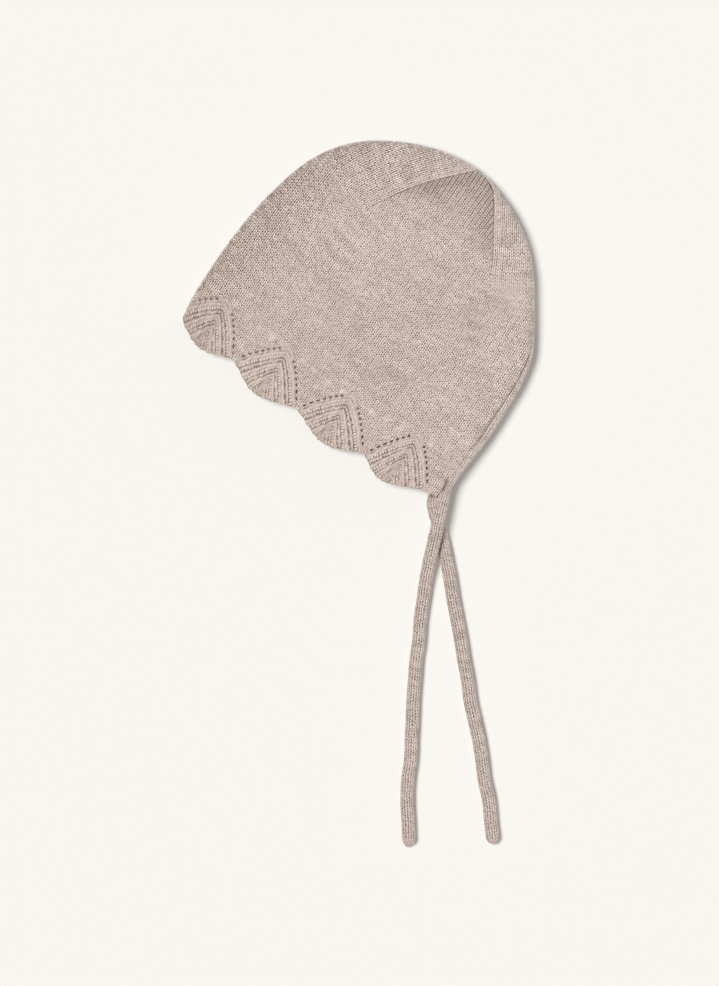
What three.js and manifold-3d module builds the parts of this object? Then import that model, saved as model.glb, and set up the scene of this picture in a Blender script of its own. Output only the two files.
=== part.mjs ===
import * as THREE from 'three';
import { mergeVertices } from 'three/addons/utils/BufferGeometryUtils.js';
import Module from 'manifold-3d';

// A knitted baby bonnet that lies on its side, near half on top of the far half. Sizes are in millimetres.
// s runs along the face edge from forehead to chin, d runs from the face edge to the back of the head,
// and z is the height above the surface that the bonnet lies on.

// Knit wall and the way that it folds and domes
const WALL = 1.6; // thickness of the knit
const GAP = 0.35; // clearance between neighbouring pieces
const FOLD_RADIUS = 4.6; // outside radius of the fold along the top and the back
const DOME_RISE = 14; // height of the near half above its folded rim
const DOME_REACH = 75; // distance from the rim at which the dome is full
const DOME_START = 75; // distance from the face edge at which the dome is full
const NECK_RIM = 8; // height of the near half's open neck edge
const TIP_DROOP = 1; // how far the tips of the lace hang down
const DROOP_START = 10; // distance from the face edge at which the lace begins to hang
const FAR_TUCK = 4; // how far the far half's chin corner lies back under the near one
const TUCK_FROM = 110; // distance from the forehead at which that corner begins
const FAR_BACK = 1.5; // how far the far half's face edge lies back under the near one
const BACK_REACH = 40; // distance from the face edge over which it is drawn back
const SLANT_REACH = 15; // distance from the forehead fold over which the knit follows its slant
const HEAD_CENTRE = { s: 87.12, d: 72.7 }; // middle of the lying bonnet, the part's origin

// Lace edge: a row of leaves, each a chevron of ribs under two lines of eyelets
const LEAF_AXES = [17.8, 60.3, 103.1, 145.5]; // middles of the leaves, along the knit from the forehead fold
const VALLEYS = [-4, 37.7, 81.4, 125.6, 166.4]; // valleys between them; the first lies just round the fold
const TOOTH = 1.3; // half the width of plain knit between two leaves at the edge
const FOLD_EDGE = 1.5; // distance from the forehead fold at which the first leaf stops
const FOLD_STRIP = 1.5; // width of the plain knit that runs down the fold between the first leaves
const LEAF_TOP = 25; // distance from the face edge to a leaf's apex
const SHOULDER = -1; // distance from the face edge at which a leaf has its full width
const VALLEY = -4.5; // edge of the knit between two leaves
const LEAF_TIP = -11.3; // edge of the knit at a leaf's tip
const TIP_SHIFTS = [0, -0.1, 0.05, -0.2]; // how far each tip lies from its leaf's middle, in half widths
const EDGE_WAVE = 0.5; // how far the leaves' edge is a wave, and not a row of arcs
const BOW_DEPTH = 4.6; // how far the face edge bows outwards
const BOW_MIDDLE = 100; // place along the face edge that bows most
const BOW_REACH = 80; // distance from there at which the edge has drawn back by the whole depth
const BOW_LOWEST = -1.9; // distance of the bowed edge from its straight line at that place
const RIB_FIRST = 5.2; // distance of the first rib below the leaf's apex, along its axis
const RIB_STEP = 3.9; // distance from a rib to the next groove, along the leaf's axis
const RIB_RELIEF = 0.6; // depth of the grooves between the ribs
const RIB_ENDS = [0, 0.35, 0.7, 1]; // places along a rib, from the leaf's axis to its edge
const EYELETS = 7; // eyelets along each side of a leaf
const EYELET_RADIUS = 0.8;
const EYELET_SIDES = 6;
const EYELET_INSET = 1.9; // distance of the eyelet line below the leaf's top edge, along its axis
const EYELET_FIRST = 8.7; // distance of the first eyelet from the leaf's axis, along the line
const EYELET_STEP = 3.25;
const CUTTER_POINTS = [-1, -0.5, 0, 0.5, 1]; // places across a leaf where its cut edge bends
const CUTTER_HEIGHT = 50; // height of the cut that takes a leaf's place out of the crown

// Knitted cord on the neck edge, and its free ends
const CORD_WIDTH = 4.2;
const CORD_HEIGHT = 4.5;
const TIE_WIDTH = 7.8;
const TIE_HEIGHT = 4.6;
const CORD_SIDES = 10;
const NECK_STEPS = 16;
const TIE_STEPS = 40;

// Raised lines where the gores of the back are fashioned together, from the back of the head inwards
const WELT_WIDTH = 2.6;
const WELT_HEIGHT = 1.3;
const WELT_STEPS = 12;
const TOP_WELT = [
  { s: 83, d: 152.6 },
  { s: 75.5, d: 144 },
  { s: 66.5, d: 133 },
  { s: 58, d: 119.5 },
  { s: 51, d: 105 },
];
const BACK_WELT = [
  { s: 100.5, d: 151 },
  { s: 107, d: 144.5 },
  { s: 114.3, d: 135.8 },
  { s: 121, d: 125.5 },
  { s: 127.2, d: 114 },
];

// Outline of the crown from the forehead along the top fold, round the back and down the neck edge
const OUTLINE = [
  { s: 0.2, d: 0.9 },
  { s: -1.6, d: 15 },
  { s: -2.2, d: 38 },
  { s: -1.3, d: 62 },
  { s: 2, d: 86 },
  { s: 9, d: 111 },
  { s: 22, d: 131 },
  { s: 41, d: 145.6 },
  { s: 64, d: 155.6 },
  { s: 88, d: 158.6 },
  { s: 111, d: 153.5 },
  { s: 130, d: 143.6 },
  { s: 144.5, d: 130.5 },
  { s: 156.6, d: 113.6 },
  { s: 162.9, d: 102 },
  { s: 167.6, d: 88 },
  { s: 170.4, d: 72 },
  { s: 171.4, d: 54 },
  { s: 171.8, d: 36 },
  { s: 170.6, d: 18 },
  { s: 168, d: 6 },
  { s: 167.9, d: -2.9 },
];
const NAPE = 14; // the outline point where the fold ends and the neck opening starts
const LINES_PER_SPAN = 2; // cross-sections of the crown for each span of the outline
const POINTS_PER_SPAN = 8; // points of the outline that distances are measured to, for each span
const NECK_OPENS = 1; // spans over which the folded rim opens into two free edges
const FACE_FROM = 50; // stretch of the face edge that the cross-sections start from
const FACE_TO = 118;
const RIM_TURNS = [0, 30, 60, 90]; // angles round the fold at which the wall is cut
const INNER_STEPS = [0.1, 0.25, 0.45, 0.7, 1]; // places along a cross-section, from the rim to the face edge

// Route of the neck cord along the near edge, from the chin to the nape
const NECK_ROUTE = [
  { s: 173.2, d: 7.6 },
  { s: 173.2, d: 18 },
  { s: 174.3, d: 36 },
  { s: 173.9, d: 54 },
  { s: 173, d: 72 },
  { s: 171.9, d: 81 },
  { s: 170, d: 90 },
  { s: 168.2, d: 95 },
];

// Routes of the ties on the surface, from the chin to their ends, with the height of their middle
const TIE_NEAR_ROUTE = [
  { s: 172, d: 6, z: 7.2 },
  { s: 173.4, d: 1, z: 7.25 },
  { s: 176, d: -5.5, z: 7.3 },
  { s: 179, d: -12, z: 7.3 },
  { s: 182, d: -19, z: 7.2 },
  { s: 184.6, d: -25.5, z: 6.3 },
  { s: 187.6, d: -33, z: 4.7 },
  { s: 192, d: -43, z: 3 },
  { s: 197, d: -53, z: 2.45 },
  { s: 202, d: -63, z: 2.35 },
  { s: 207.5, d: -72.5, z: 2.35 },
  { s: 212.5, d: -82.5, z: 2.35 },
  { s: 218, d: -92, z: 2.35 },
  { s: 223.5, d: -101.5, z: 2.35 },
  { s: 229.5, d: -111, z: 2.35 },
  { s: 235, d: -120, z: 2.35 },
  { s: 241, d: -129.5, z: 2.35 },
  { s: 246, d: -139.5, z: 2.35 },
  { s: 252, d: -149, z: 2.35 },
  { s: 258.5, d: -157.5, z: 2.35 },
  { s: 266, d: -167.5, z: 2.35 },
];
const TIE_FAR_ROUTE = [
  { s: 167.9, d: 6, z: 2.35 },
  { s: 168.6, d: 0, z: 2.35 },
  { s: 171, d: -5.5, z: 2.35 },
  { s: 175.5, d: -10, z: 2.35 },
  { s: 180.5, d: -14, z: 2.35 },
  { s: 186.5, d: -19.3, z: 2.35 },
  { s: 195, d: -27.5, z: 2.35 },
  { s: 203, d: -35.5, z: 2.35 },
  { s: 210.5, d: -43.5, z: 2.35 },
  { s: 218.5, d: -51.5, z: 2.35 },
  { s: 226.5, d: -59.5, z: 2.35 },
  { s: 234, d: -67.5, z: 2.35 },
  { s: 242, d: -75.5, z: 2.35 },
  { s: 249.5, d: -84, z: 2.35 },
  { s: 257.5, d: -91.5, z: 2.35 },
  { s: 266, d: -99.5, z: 2.35 },
  { s: 273.5, d: -107.5, z: 2.35 },
  { s: 280.5, d: -115.5, z: 2.35 },
  { s: 289, d: -123.5, z: 2.35 },
  { s: 296, d: -132, z: 2.35 },
  { s: 303.5, d: -140.5, z: 2.35 },
];

const NEAR = 1;
const FAR = -1;
const SAME_POINT = 1e-3; // corners closer than this are one corner
const HALVINGS = 30; // steps that find where a rib meets the edge
const wasm = await Module();
wasm.setup();

const clamp01 = (x) => Math.min(1, Math.max(0, x));
const smooth = (x) => clamp01(x) ** 2 * (3 - 2 * clamp01(x));
const mix = (a, b, x) => a + (b - a) * x;
const roundOff = (x) => Math.sqrt(1 - (1 - clamp01(x)) ** 2);

// Knit surfaces

const outline = new THREE.CatmullRomCurve3(
  OUTLINE.map(({ s, d }) => new THREE.Vector3(s, d, 0)),
  false,
  'catmullrom',
);
const SPANS = OUTLINE.length - 1;
const RIM_POINTS = outline.getPoints(SPANS * POINTS_PER_SPAN);

// Distance from a place in plan to the outline, and the outline span that is nearest
function nearestRim(s, d) {
  const place = new THREE.Vector3(s, d, 0);
  const onRim = new THREE.Vector3();
  let best = { away: Infinity, span: 0 };
  for (let i = 0; i + 1 < RIM_POINTS.length; i += 1) {
    const segment = new THREE.Line3(RIM_POINTS[i], RIM_POINTS[i + 1]);
    const along = segment.closestPointToPointParameter(place, true);
    const away = segment.at(along, onRim).distanceTo(place);
    if (away < best.away) best = { away, span: ((i + along) / (RIM_POINTS.length - 1)) * SPANS };
  }
  return best;
}

// How far the neck edge is open at a span of the outline, 0 on the fold to 1 on the free edges
const opened = (span) => smooth((span - NAPE) / NECK_OPENS);

// Height of the dome over the flat near half, less the hang of the lace tips
function lift(away, d) {
  const dome = DOME_RISE * (1 - (1 - clamp01(away / DOME_REACH)) ** 2) * smooth(d / DOME_START);
  const droop = TIP_DROOP * clamp01((DROOP_START - d) / (DROOP_START - LEAF_TIP)) ** 2;
  return dome - droop;
}

// Height of the knit at a place in plan, depth into the wall from its outside
function knitHeight(side, s, d, depth) {
  const { away, span } = nearestRim(s, d);
  const open = opened(span);
  const rise = roundOff((away - depth * (1 - open)) / (FOLD_RADIUS - depth));
  if (side === NEAR) {
    const rim = mix(FOLD_RADIUS, NECK_RIM - depth, open);
    return mix(rim, 2 * FOLD_RADIUS - depth, rise) + lift(away, d) * rise;
  }
  return mix(mix(FOLD_RADIUS, depth, open), depth, rise);
}

// The far half is the near half's plan with the face edge drawn back and the chin corner tucked in
function planOf(side, s, d) {
  if (side === NEAR) return { s, d };
  const chin = smooth((s - TUCK_FROM) / (OUTLINE[SPANS].s - TUCK_FROM));
  const tuck = FAR_TUCK * chin * clamp01(1 - d / OUTLINE[NAPE].d);
  const back = FAR_BACK * clamp01(s / SLANT_REACH) * clamp01(1 - d / BACK_REACH);
  return { s: s - tuck, d: d + back };
}

const toPart = ({ s, d }, z) => new THREE.Vector3(s - HEAD_CENTRE.s, d - HEAD_CENTRE.d, z);

// Closed skins made of strips between rows of points

class Skin {
  constructor() {
    this.corners = [];
  }

  strip(rowA, rowB, closed = false) {
    const last = closed ? rowA.length : rowA.length - 1;
    for (let i = 0; i < last; i += 1) {
      const next = (i + 1) % rowA.length;
      this.corners.push(rowA[i], rowB[i], rowB[next]);
      this.corners.push(rowA[i], rowB[next], rowA[next]);
    }
  }

  geometry() {
    const merged = mergeVertices(new THREE.BufferGeometry().setFromPoints(this.corners), SAME_POINT);
    const index = merged.getIndex().array;
    const kept = [];
    for (let i = 0; i < index.length; i += 3) {
      const [a, b, c] = index.slice(i, i + 3);
      if (a !== b && b !== c && c !== a) kept.push(a, b, c);
    }
    merged.setIndex(kept);
    return merged;
  }
}

function toSolid(geometry) {
  const bare = geometry.clone();
  bare.deleteAttribute('normal');
  bare.deleteAttribute('uv');
  const merged = mergeVertices(bare, SAME_POINT);
  const vertProperties = new Float32Array(merged.getAttribute('position').array);
  const triVerts = new Uint32Array(merged.getIndex().array);
  return new wasm.Manifold(new wasm.Mesh({ numProp: 3, vertProperties, triVerts }));
}

function toGeometry(solid) {
  const { vertProperties, triVerts } = solid.getMesh();
  const geometry = new THREE.BufferGeometry();
  geometry.setAttribute('position', new THREE.BufferAttribute(vertProperties, 3));
  geometry.setIndex(new THREE.BufferAttribute(triVerts, 1));
  return geometry;
}

// Lace leaves

const QUARTER_FOLD = (Math.PI / 2) * (FOLD_RADIUS - WALL / 2);
const LEFT = -1;
const RIGHT = 1;

// One half of a leaf: its width at the edge, how far it is free to reach, and the slope of its ribs
function halfLeaf(half, reach) {
  return { half, reach: Math.min(half, reach), slope: Math.atan2(half, LEAF_TOP - SHOULDER) };
}

// Edge of the knit at a place across a leaf, in half widths from the leaf's middle
function leafEdge(tipShift, part) {
  const shifted = part - tipShift * (1 - part ** 2);
  const wave = (1 + Math.cos(Math.PI * shifted)) / 2;
  return mix(VALLEY, LEAF_TIP, mix(1 - shifted ** 2, wave, EDGE_WAVE));
}

const LEAVES = LEAF_AXES.map((axis, i) => ({
  axis,
  tipShift: TIP_SHIFTS[i],
  [LEFT]: halfLeaf(axis - VALLEYS[i] - TOOTH, axis - FOLD_EDGE),
  [RIGHT]: halfLeaf(VALLEYS[i + 1] - axis - TOOTH, Infinity),
}));

// How far the bowed face edge is from its straight line
const bow = (along) => BOW_LOWEST + BOW_DEPTH * ((along - BOW_MIDDLE) / BOW_REACH) ** 2;

// Place of a point in the knit of the face edge, along being its distance in the knit from the forehead fold
function onSheet(side, along, d, depth) {
  const foldS = mix(OUTLINE[0].s, OUTLINE[1].s, (d - OUTLINE[0].d) / (OUTLINE[1].d - OUTLINE[0].d));
  const turn = (Math.min(along / QUARTER_FOLD, 1) * Math.PI) / 2;
  const beyond = Math.max(along - QUARTER_FOLD, 0);
  const radius = FOLD_RADIUS - depth;
  const slant = foldS * clamp01(1 - beyond / SLANT_REACH);
  const s = slant + FOLD_RADIUS - radius * Math.cos(turn) + beyond;
  const domed = side === NEAR ? lift(0, d) : 0;
  const onArc = FOLD_RADIUS + (side * radius + domed) * Math.sin(turn);
  const z = beyond > 0 ? knitHeight(side, s, d, depth) : onArc;
  return toPart(planOf(side, s, d), z);
}

// Length of the rib that starts at a drop below the leaf's apex and runs out to the curved edge
function ribLength({ tipShift, ...leaf }, hand, drop) {
  const { half, reach, slope } = leaf[hand];
  let [inside, outside] = [0, reach / Math.sin(slope)];
  for (let i = 0; i < HALVINGS; i += 1) {
    const out = (inside + outside) / 2;
    const edge = leafEdge(tipShift, (hand * out * Math.sin(slope)) / half);
    if (LEAF_TOP - drop - out * Math.cos(slope) > edge) inside = out;
    else outside = out;
  }
  return outside;
}

// Place on one half of a leaf, a drop below its apex along the axis and then a distance out along a rib
function onLeaf(side, leaf, hand, drop, out, depth) {
  const { slope } = leaf[hand];
  const along = leaf.axis + hand * out * Math.sin(slope);
  return onSheet(side, along, LEAF_TOP - drop - out * Math.cos(slope) + bow(along), depth);
}

// One chevron of the leaf, over its axis from one end to the other
function chevron(side, leaf, drop, depth) {
  const rib = (hand) => RIB_ENDS.map((part) => {
    return onLeaf(side, leaf, hand, drop, part * ribLength(leaf, hand, drop), depth);
  });
  const [left, right] = side === NEAR ? [rib(LEFT), rib(RIGHT)] : [rib(RIGHT), rib(LEFT)];
  return [...left.reverse(), ...right.slice(1)];
}

function eyelet(side, leaf, hand, out) {
  const outside = onLeaf(side, leaf, hand, EYELET_INSET, out, 0);
  const inside = onLeaf(side, leaf, hand, EYELET_INSET, out, WALL);
  const drill = new THREE.CylinderGeometry(EYELET_RADIUS, EYELET_RADIUS, WALL * 4, EYELET_SIDES);
  const outwards = outside.clone().sub(inside).normalize();
  drill.applyQuaternion(new THREE.Quaternion().setFromUnitVectors(new THREE.Vector3(0, 1, 0), outwards));
  const middle = outside.add(inside).multiplyScalar(0.5);
  return toSolid(drill.translate(middle.x, middle.y, middle.z));
}

function makeLeaf(side, leaf) {
  const depthOfLeaf = LEAF_TOP - leafEdge(leaf.tipShift, 0);
  const outer = [];
  const inner = [];
  const ribs = Math.floor((depthOfLeaf - RIB_FIRST) / RIB_STEP);
  const drops = Array.from({ length: ribs + 1 }, (_, i) => RIB_FIRST + i * RIB_STEP);
  [0, ...drops, depthOfLeaf].forEach((drop, i) => {
    const groove = i % 2 === 0 && i > 0 && drop < depthOfLeaf;
    outer.push(chevron(side, leaf, drop, groove ? RIB_RELIEF : 0));
    inner.push(chevron(side, leaf, drop, WALL));
  });
  const skin = new Skin();
  for (let i = 0; i + 1 < outer.length; i += 1) {
    const rowA = [...outer[i], ...inner[i].slice().reverse()];
    const rowB = [...outer[i + 1], ...inner[i + 1].slice().reverse()];
    skin.strip(rowA, rowB, true);
  }
  skin.strip(inner[0], outer[0]);
  let solid = toSolid(skin.geometry());
  for (let i = 0; i < EYELETS; i += 1) {
    const out = EYELET_FIRST + i * EYELET_STEP;
    for (const hand of [LEFT, RIGHT]) {
      const { reach, slope } = leaf[hand];
      const fits = out * Math.sin(slope) + 1.5 * EYELET_RADIUS < reach;
      if (fits) solid = solid.subtract(eyelet(side, leaf, hand, out));
    }
  }
  return toGeometry(solid);
}

// Cords and raised lines

function makeCord(route, width, height, steps) {
  const path = new THREE.CatmullRomCurve3(route.map(({ s, d, z }) => toPart({ s, d }, z)));
  const section = new THREE.Shape();
  for (let i = 0; i < CORD_SIDES; i += 1) {
    const turn = (i / CORD_SIDES) * 2 * Math.PI;
    const [up, across] = [(height / 2) * Math.cos(turn), (width / 2) * Math.sin(turn)];
    if (i === 0) section.moveTo(up, across);
    else section.lineTo(up, across);
  }
  section.closePath();
  return new THREE.ExtrudeGeometry(section, { steps, extrudePath: path, bevelEnabled: false });
}

// Crown

// Places of one cross-section of the crown's wall, from the rim to the face edge
function crossSection(side, line, depth) {
  const span = line / LINES_PER_SPAN;
  const rim = outline.getPoint(span / SPANS);
  const faceS = mix(FACE_FROM, FACE_TO, span / SPANS);
  const face = new THREE.Vector3(faceS, VALLEY + bow(faceS), 0);
  const tangent = outline.getTangent(span / SPANS);
  const inwards = face.clone().sub(rim);
  const length = inwards.length();
  inwards.normalize();
  const square = Math.abs(inwards.x * tangent.y - inwards.y * tangent.x);
  const open = opened(span);
  const radius = FOLD_RADIUS - depth;
  const turned = RIM_TURNS.map((turn) => {
    const reach = depth * (1 - open) + radius * (1 - Math.cos(THREE.MathUtils.degToRad(turn)));
    return reach / square;
  });
  const straight = INNER_STEPS.map((part) => mix(turned[turned.length - 1], length, part));
  return [...turned, ...straight].map((reach, i) => {
    const s = rim.x + inwards.x * reach;
    const d = rim.y + inwards.y * reach;
    const closedRim = i === 0 && span <= NAPE;
    const z = closedRim ? FOLD_RADIUS : knitHeight(side, s, d, depth);
    return toPart(closedRim ? { s, d } : planOf(side, s, d), z);
  });
}

// Prism over one leaf, a little larger than the leaf, that takes its place out of the crown
function leafCutter(side, leaf) {
  const edge = CUTTER_POINTS.map((part) => {
    const { half, reach } = leaf[part < 0 ? LEFT : RIGHT];
    const across = part * (reach + 2 * GAP);
    const along = leaf.axis + across;
    const d = mix(LEAF_TOP + 2 * GAP, SHOULDER, Math.abs(across) / (half + 2 * GAP)) + bow(along);
    const place = onSheet(side, along, d, 0);
    return new THREE.Vector2(place.x, place.y);
  });
  const [first] = edge;
  const last = edge[edge.length - 1];
  const below = LEAF_TIP - DROOP_START - HEAD_CENTRE.d;
  const base = [new THREE.Vector2(last.x, below)];
  if (leaf[LEFT].reach < leaf[LEFT].half) {
    const clear = first.x - FOLD_RADIUS;
    base.push(new THREE.Vector2(clear, below), new THREE.Vector2(clear, first.y));
  } else {
    base.push(new THREE.Vector2(first.x, below));
  }
  const plan = new THREE.Shape([...edge, ...base]);
  const prism = new THREE.ExtrudeGeometry(plan, { depth: CUTTER_HEIGHT, bevelEnabled: false });
  const nearFoot = FOLD_RADIUS + FOLD_STRIP / 2;
  const farFoot = FOLD_RADIUS - FOLD_STRIP / 2 - CUTTER_HEIGHT;
  return toSolid(prism.translate(0, 0, side === NEAR ? nearFoot : farFoot));
}

function makeCrown() {
  const lines = SPANS * LINES_PER_SPAN;
  const napeLine = NAPE * LINES_PER_SPAN;
  const rows = [];
  for (let line = 0; line <= lines; line += 1) {
    rows.push({
      nearOut: crossSection(NEAR, line, 0),
      nearIn: crossSection(NEAR, line, WALL),
      farOut: crossSection(FAR, line, 0),
      farIn: crossSection(FAR, line, WALL),
    });
  }
  const turned = (row) => row.slice().reverse();
  const folded = (row) => [
    ...turned(row.nearOut),
    ...row.farOut.slice(1),
    ...turned(row.farIn),
    ...row.nearIn.slice(1),
  ];
  const nearEdge = (row) => [...turned(row.nearOut), ...row.nearIn];
  const farEdge = (row) => [...row.farOut, ...turned(row.farIn)];
  const skin = new Skin();
  for (let line = 0; line < lines; line += 1) {
    const [row, next] = [rows[line], rows[line + 1]];
    if (line < napeLine) {
      skin.strip(folded(row), folded(next), true);
    } else {
      skin.strip(nearEdge(row), nearEdge(next), true);
      skin.strip(farEdge(row), farEdge(next), true);
    }
  }
  const [first, last] = [rows[0], rows[lines]];
  skin.strip(
    [...turned(first.nearIn), ...first.farIn.slice(1)],
    [...turned(first.nearOut), ...first.farOut.slice(1)],
  );
  skin.strip(turned(last.nearOut), turned(last.nearIn));
  skin.strip(last.farOut, last.farIn);
  let crown = toSolid(skin.geometry());
  for (const side of [NEAR, FAR]) {
    for (const leaf of LEAVES) crown = crown.subtract(leafCutter(side, leaf));
  }
  for (const line of [TOP_WELT, BACK_WELT]) {
    const route = line.map(({ s, d }) => ({ s, d, z: knitHeight(NEAR, s, d, 0) }));
    crown = crown.add(toSolid(makeCord(route, WELT_WIDTH, WELT_HEIGHT, WELT_STEPS)));
  }
  return toGeometry(crown);
}

// Neck cord

function neckRoute(side) {
  const z = side === NEAR ? CORD_HEIGHT + GAP + CORD_HEIGHT / 2 : CORD_HEIGHT / 2;
  return NECK_ROUTE.map(({ s, d }) => ({ ...planOf(side, s, d), z }));
}

// The bonnet

const bonnet = new THREE.Group();

function addPiece(name, geometry, color) {
  const material = new THREE.MeshStandardMaterial({ color, roughness: 0.95, metalness: 0 });
  const piece = new THREE.Mesh(geometry, material);
  piece.name = name;
  bonnet.add(piece);
}

addPiece('crown', makeCrown(), '#c3b2a9');
LEAVES.forEach((leaf, i) => {
  addPiece(`scallop_near_${i + 1}`, makeLeaf(NEAR, leaf), '#c0afa5');
  addPiece(`scallop_far_${i + 1}`, makeLeaf(FAR, leaf), '#c0afa5');
});
addPiece('neck_cord_near', makeCord(neckRoute(NEAR), CORD_WIDTH, CORD_HEIGHT, NECK_STEPS), '#c1aea4');
addPiece('neck_cord_far', makeCord(neckRoute(FAR), CORD_WIDTH, CORD_HEIGHT, NECK_STEPS), '#c1aea4');
addPiece('tie_near', makeCord(TIE_NEAR_ROUTE, TIE_WIDTH, TIE_HEIGHT, TIE_STEPS), '#bfaca2');
addPiece('tie_far', makeCord(TIE_FAR_ROUTE, TIE_WIDTH, TIE_HEIGHT, TIE_STEPS), '#bfaca2');

export default bonnet;
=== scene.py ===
import bpy
import numpy as np
from mathutils import Matrix, Vector


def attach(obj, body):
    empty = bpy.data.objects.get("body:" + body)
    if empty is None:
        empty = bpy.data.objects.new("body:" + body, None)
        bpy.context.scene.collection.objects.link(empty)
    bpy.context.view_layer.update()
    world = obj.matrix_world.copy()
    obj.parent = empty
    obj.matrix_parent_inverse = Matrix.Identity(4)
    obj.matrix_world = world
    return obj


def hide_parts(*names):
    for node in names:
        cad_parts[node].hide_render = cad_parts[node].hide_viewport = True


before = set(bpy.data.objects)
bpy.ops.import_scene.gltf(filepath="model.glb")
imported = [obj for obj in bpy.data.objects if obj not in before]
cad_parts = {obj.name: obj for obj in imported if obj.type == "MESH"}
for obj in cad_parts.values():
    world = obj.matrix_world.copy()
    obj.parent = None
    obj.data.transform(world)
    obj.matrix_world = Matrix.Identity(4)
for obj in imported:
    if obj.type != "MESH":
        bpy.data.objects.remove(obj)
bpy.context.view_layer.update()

# Floor, light and camera.
# A pale, warm, even surface seen from straight above, with the bonnet turned by 34 degrees on it.
# Soft daylight comes from the left, so the only shadows are narrow ones along the right-hand edges.
MM = 0.001
IMAGE_ROWS = 986
ROW_SIZE = 0.55
IMAGE_HEIGHT = IMAGE_ROWS * ROW_SIZE * MM
UPRIGHT = Vector((0, 0, 1))
IMAGE_RIGHT = Vector((0.825, 0.565, 0)).normalized()
IMAGE_UP = Vector((-0.565, 0.825, 0)).normalized()
AIM = Vector((47.8, -96.95, 0)) * MM
CAMERA_HEIGHT = 2.4
SUN_FROM = UPRIGHT - IMAGE_RIGHT * 0.57 + IMAGE_UP * 0.14
SUN_STRENGTH = 3.2
SUN_ANGLE = 0.5
FILL_FROM = UPRIGHT + IMAGE_RIGHT * 2.6 - IMAGE_UP * 0.5
FILL_STRENGTH = 2.0
SKY_COLOUR = (1, 1, 1, 1)
SKY_STRENGTH = 0.2
FLOOR_COLOUR = (0.722, 0.706, 0.676, 1)
FLOOR_HALF = 3.0
FLOOR_DROP = 0.1 * MM

scene = bpy.context.scene
scene.view_settings.view_transform = "Standard"
camera = bpy.data.objects.new("camera", bpy.data.cameras.new("camera"))
camera.matrix_world = Matrix((IMAGE_RIGHT, IMAGE_UP, UPRIGHT)).transposed().to_4x4()
camera.location = AIM + UPRIGHT * CAMERA_HEIGHT
camera.data.lens = camera.data.sensor_width * CAMERA_HEIGHT / IMAGE_HEIGHT
scene.collection.objects.link(camera)
scene.camera = camera


def add_sun(name, way, strength):
    """A far light that shines from the given way."""
    sun = bpy.data.objects.new(name, bpy.data.lights.new(name, "SUN"))
    sun.rotation_euler = way.to_track_quat("Z", "Y").to_euler()
    sun.data.energy = strength
    scene.collection.objects.link(sun)
    return sun.data


add_sun("daylight", SUN_FROM, SUN_STRENGTH).angle = SUN_ANGLE
add_sun("fill", FILL_FROM, FILL_STRENGTH).use_shadow = False
sky = bpy.data.worlds.new("sky")
sky.use_nodes = True
sky.node_tree.nodes["Background"].inputs["Color"].default_value = SKY_COLOUR
sky.node_tree.nodes["Background"].inputs["Strength"].default_value = SKY_STRENGTH
scene.world = sky

paper = bpy.data.materials.new("pale_surface")
paper.use_nodes = True
paper_shader = paper.node_tree.nodes["Principled BSDF"]
paper_shader.inputs["Base Color"].default_value = FLOOR_COLOUR
paper_shader.inputs["Roughness"].default_value = 1.0
paper_shader.inputs["Specular IOR Level"].default_value = 0.0
floor_mesh = bpy.data.meshes.new("floor")
corners = np.array([(-1, -1, 0), (1, -1, 0), (1, 1, 0), (-1, 1, 0)]) * FLOOR_HALF - (0, 0, FLOOR_DROP)
floor_mesh.from_pydata(corners.tolist(), [], [(0, 1, 2, 3)])
floor_mesh.materials.append(paper)
floor = bpy.data.objects.new("floor", floor_mesh)
scene.collection.objects.link(floor)

# Crown, the head of the bonnet.
# Plain knit in a fine melange wool, folded along the top and the back of the head and lying on its side.
# Three gores make each half; they are fashioned together along raised lines that run to the crown's apex.

# The shell: its wall, the quarter round of its folds, the dome of the near half, the height of the open neck
# edge, the droop at the tips of the lace, how the far half is tucked in, and where its rim gets painted
# shade.
NEAR, FAR = 1, -1
HEAD_CENTRE = (87.12, 72.7)
WALL = 1.6
FOLD_RADIUS = 4.6
QUARTER = np.pi / 2 * (FOLD_RADIUS - WALL / 2)
DOME_RISE, DOME_REACH, DOME_START = 14, 75, 75
NECK_RIM = 8
LEAF_TIP = -11.3
TIP_DROOP, DROOP_START = 1, 10
FAR_TUCK, TUCK_FROM = 4, 110
FAR_BACK, BACK_REACH = 1.5, 40
SLANT_REACH = 15
DITCH = 0.9
RIM_TURN, RIM_REACH = IMAGE_RIGHT * 0.75 - IMAGE_UP * 0.66, 22

# The outline, as places s from the forehead fold and d from the face edge: along the top fold from the
# forehead, round the back of the head to the nape, and on along the neck edge to the chin.
OUTLINE = np.array([
    (0.2, 0.9), (-1.6, 15), (-2.2, 38), (-1.3, 62), (2, 86), (9, 111), (22, 131), (41, 145.6), (64, 155.6),
    (88, 158.6), (111, 153.5), (130, 143.6), (144.5, 130.5), (157, 113.6), (164.4, 102), (169.5, 88),
    (171.8, 72), (172.1, 54), (172.2, 36), (171.6, 18), (171.3, 6), (170.8, -3),
])
NAPE = 14
PER_SPAN = 8
NECK_DRAWN = 30
RIM_CHUNK, ON_RIM, TINY = 20000, 0.05, 1e-6

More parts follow.
